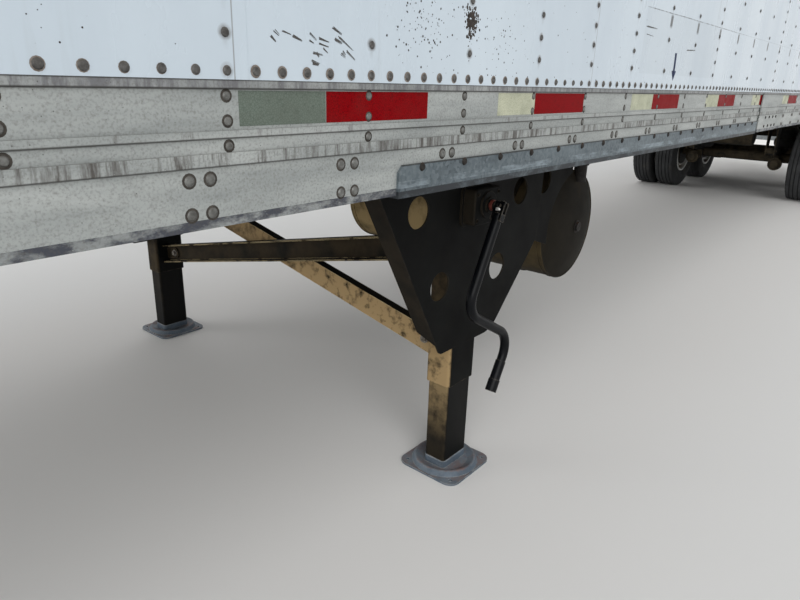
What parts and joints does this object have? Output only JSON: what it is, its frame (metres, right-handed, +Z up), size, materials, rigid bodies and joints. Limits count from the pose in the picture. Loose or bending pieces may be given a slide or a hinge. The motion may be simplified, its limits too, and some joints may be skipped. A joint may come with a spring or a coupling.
{
  "type": "refrigerated van semi trailer",
  "caption": "Long insulated box trailer on tandem dual wheels and landing legs, with a kingpin under its nose, hinged rear doors and a lateral fuel tank.",
  "frame": {"origin": "centre of the overall length and width, on the ground", "axes": "+X forward towards the nose, +Y to the trailer's left side, +Z up"},
  "size_m": [16.639, 2.601, 4.115],
  "materials": {
    "white_paint": "weathered white gloss with specks and scratches",
    "rail_aluminium": "dull mill finish, speckled",
    "galvanised": "hot-dip galvanised, bluish",
    "duct_aluminium": "mill finish",
    "frame_black": "black, dusty",
    "leg_black": "black, dusty and chipped",
    "pad_steel": "grey dust over rusty steel",
    "crank_black": "gloss black",
    "tank_paint": "dark brown, dusty",
    "tyre_rubber": "matt, dusty",
    "wheel_paint": "white enamel, dusty",
    "axle_paint": "black, dirty",
    "black_rubber": "matt black",
    "pin_steel": "greased, worn",
    "unit_white": "moulded, satin",
    "grille_black": "moulded",
    "zinc_steel": "zinc plated",
    "lamp_red": "moulded lens",
    "lamp_amber": "moulded lens"
  },
  "bodies": {
    "root": {"bottom_rails": "rail_aluminium", "side_wall_left": "white_paint", "side_wall_right": "white_paint", "top_rails": "rail_aluminium", "roof": "white_paint", "front_wall": "white_paint", "floor": "duct_aluminium", "crossmembers": "rail_aluminium", "lift_rails": "galvanised", "joint_plates": "rail_aluminium", "coupler_plate": "frame_black", "kingpin": "pin_steel", "leg_tubes_outer": "leg_black", "leg_tubes_inner": "leg_black", "foot_pads": "pad_steel", "wing_plates": "leg_black", "gear_drive": "leg_black", "crank_handle": "crank_black", "brace_front": "leg_black", "brace_rear": "leg_black", "fuel_tank": "tank_paint", "tank_hangers": "leg_black", "axles": "axle_paint", "slider_rails": "frame_black", "slider_frame": "frame_black", "trailing_arms": "frame_black", "air_springs": "black_rubber", "brake_chambers": "axle_paint", "air_tanks": "frame_black", "rear_frame": "galvanised", "dock_bumpers": "black_rubber", "rear_guard": "galvanised", "mud_flaps": "black_rubber", "flap_brackets": "frame_black", "cooling_unit": "unit_white", "unit_grille": "grille_black", "nose_sockets": "zinc_steel", "lamps_red": "lamp_red", "lamps_amber": "lamp_amber"},
    "dual_front_left": {"tyres_front_left": "tyre_rubber", "wheels_front_left": "wheel_paint"},
    "dual_front_right": {"tyres_front_right": "tyre_rubber", "wheels_front_right": "wheel_paint"},
    "dual_rear_left": {"tyres_rear_left": "tyre_rubber", "wheels_rear_left": "wheel_paint"},
    "dual_rear_right": {"tyres_rear_right": "tyre_rubber", "wheels_rear_right": "wheel_paint"},
    "door_left": {"door_left": "white_paint", "door_hardware_left": "zinc_steel"},
    "door_right": {"door_right": "white_paint", "door_hardware_right": "zinc_steel"}
  },
  "joints": [
    {"name": "spin_front_left", "type": "hinge", "parent": "root", "child": "dual_front_left", "pos_m": [-3.8105, 0.99, 0.515], "axis": [0, 1, 0], "continuous": true},
    {"name": "spin_front_right", "type": "hinge", "parent": "root", "child": "dual_front_right", "pos_m": [-3.8105, -0.99, 0.515], "axis": [0, 1, 0], "continuous": true},
    {"name": "spin_rear_left", "type": "hinge", "parent": "root", "child": "dual_rear_left", "pos_m": [-5.0555, 0.99, 0.515], "axis": [0, 1, 0], "continuous": true},
    {"name": "spin_rear_right", "type": "hinge", "parent": "root", "child": "dual_rear_right", "pos_m": [-5.0555, -0.99, 0.515], "axis": [0, 1, 0], "continuous": true},
    {"name": "door_left_swing", "type": "hinge", "parent": "root", "child": "door_left", "pos_m": [-8.2945, 1.2755, 2.6], "axis": [0, 0, -1], "range_deg": [0, 260]},
    {"name": "door_right_swing", "type": "hinge", "parent": "root", "child": "door_right", "pos_m": [-8.2945, -1.2755, 2.6], "axis": [0, 0, 1], "range_deg": [0, 260]}
  ]
}
